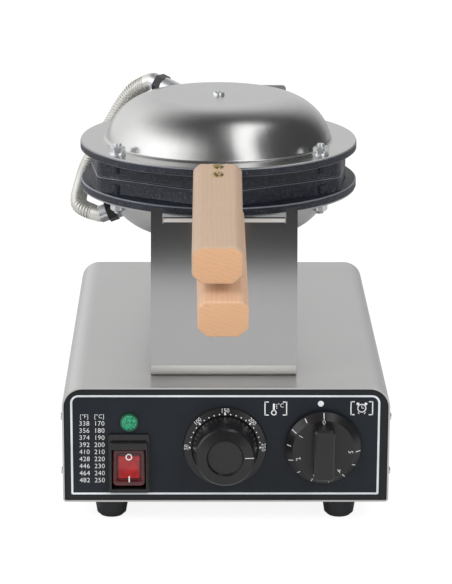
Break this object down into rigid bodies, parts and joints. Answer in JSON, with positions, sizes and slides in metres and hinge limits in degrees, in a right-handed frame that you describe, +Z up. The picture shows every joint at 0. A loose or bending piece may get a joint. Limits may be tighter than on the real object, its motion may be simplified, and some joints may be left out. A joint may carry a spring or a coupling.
{
  "type": "bubble waffle maker",
  "caption": "Countertop bubble waffle maker: hinged round cast plates with wooden handles that turn over on posts above a steel base with dials and a switch.",
  "frame": {"origin": "on the table, under the middle of the bounding box", "axes": "-Y towards the user, where the handles and controls are; +X to the user's right; +Z up"},
  "size_m": [0.243, 0.4756, 0.3015],
  "materials": {
    "stainless_steel": "brushed",
    "black_panel": "satin",
    "plain_steel": "plain",
    "zinc_plate": "bright zinc",
    "black_rubber": "matte",
    "black_plastic": "satin",
    "brass": "machined",
    "white_plastic": "matte",
    "green_lens": "gloss",
    "red_plastic": "gloss",
    "cast_iron": "seasoned, speckled",
    "fibre_blanket": "fibre",
    "beech_wood": "oiled"
  },
  "bodies": {
    "base": {"base_cover": "stainless_steel", "front_panel": "black_panel", "control_face_sheet": "black_panel", "rear_panel": "black_panel", "small_screws": "zinc_plate", "bottom_plate": "plain_steel", "rubber_feet": "black_rubber", "foot_screws": "zinc_plate", "front_post": "stainless_steel", "rear_post": "stainless_steel", "post_screws": "zinc_plate", "swivel_bush": "brass", "shaft_cover": "stainless_steel", "wire_grommet": "black_rubber", "thermostat_body": "black_plastic", "timer_body": "black_plastic", "temperature_dial": "black_plastic", "lamp_lens": "green_lens", "lamp_body": "black_plastic", "switch_bezel": "black_plastic", "switch_body": "black_plastic", "terminal_block": "white_plastic", "cable_gland": "black_plastic"},
    "lower_plate": {"lower_plate_ring": "cast_iron", "lower_egg_pan": "cast_iron", "lower_heater": "plain_steel", "lower_heat_blanket": "fibre_blanket", "lower_dome": "stainless_steel", "lower_dome_screw": "zinc_plate", "lower_flange_nuts": "zinc_plate", "lower_hose_fitting": "zinc_plate", "lower_hose_nut": "black_plastic", "lower_handle": "beech_wood", "lower_tongue": "plain_steel", "lower_handle_screws": "zinc_plate", "lower_tongue_screws": "zinc_plate", "yoke": "plain_steel", "yoke_bolts": "plain_steel", "hinge_pin": "plain_steel", "swivel_shaft": "plain_steel", "shaft_collar": "plain_steel", "flexible_hose": "stainless_steel"},
    "upper_plate": {"upper_plate_ring": "cast_iron", "upper_egg_pan": "cast_iron", "upper_heater": "plain_steel", "upper_heat_blanket": "fibre_blanket", "upper_dome": "stainless_steel", "upper_dome_screw": "zinc_plate", "upper_flange_nuts": "zinc_plate", "upper_hose_fitting": "zinc_plate", "upper_hose_nut": "black_plastic", "upper_handle": "beech_wood", "upper_tongue": "plain_steel", "upper_handle_screws": "zinc_plate", "upper_tongue_screws": "zinc_plate"},
    "temperature_knob": {"temperature_knob": "black_plastic", "temperature_spindle": "brass"},
    "timer_knob": {"timer_knob": "black_plastic", "timer_spindle": "brass"},
    "power_rocker": {"power_rocker": "red_plastic"}
  },
  "joints": [
    {"name": "plates_turn", "type": "hinge", "parent": "base", "child": "lower_plate", "pos_m": [-0.005, 0.1598, 0.2471], "axis": [0, 1, 0], "range_deg": [-180, 0]},
    {"name": "lid_hinge", "type": "hinge", "parent": "lower_plate", "child": "upper_plate", "pos_m": [-0.005, 0.1258, 0.2471], "axis": [-1, 0, 0], "range_deg": [0, 92], "deforming": ["flexible_hose"]},
    {"name": "temperature_turn", "type": "hinge", "parent": "base", "child": "temperature_knob", "pos_m": [-0.0008, -0.1252, 0.0633], "axis": [0, 1, 0], "range_deg": [-270, 0]},
    {"name": "timer_turn", "type": "hinge", "parent": "base", "child": "timer_knob", "pos_m": [0.0713, -0.1252, 0.0635], "axis": [0, 1, 0], "range_deg": [0, 260], "stiffness_Nm_per_rad": 0.004},
    {"name": "power_rocker_tip", "type": "hinge", "parent": "base", "child": "power_rocker", "pos_m": [-0.0713, -0.1192, 0.04675], "axis": [1, 0, 0], "range_deg": [0, 12]}
  ]
}
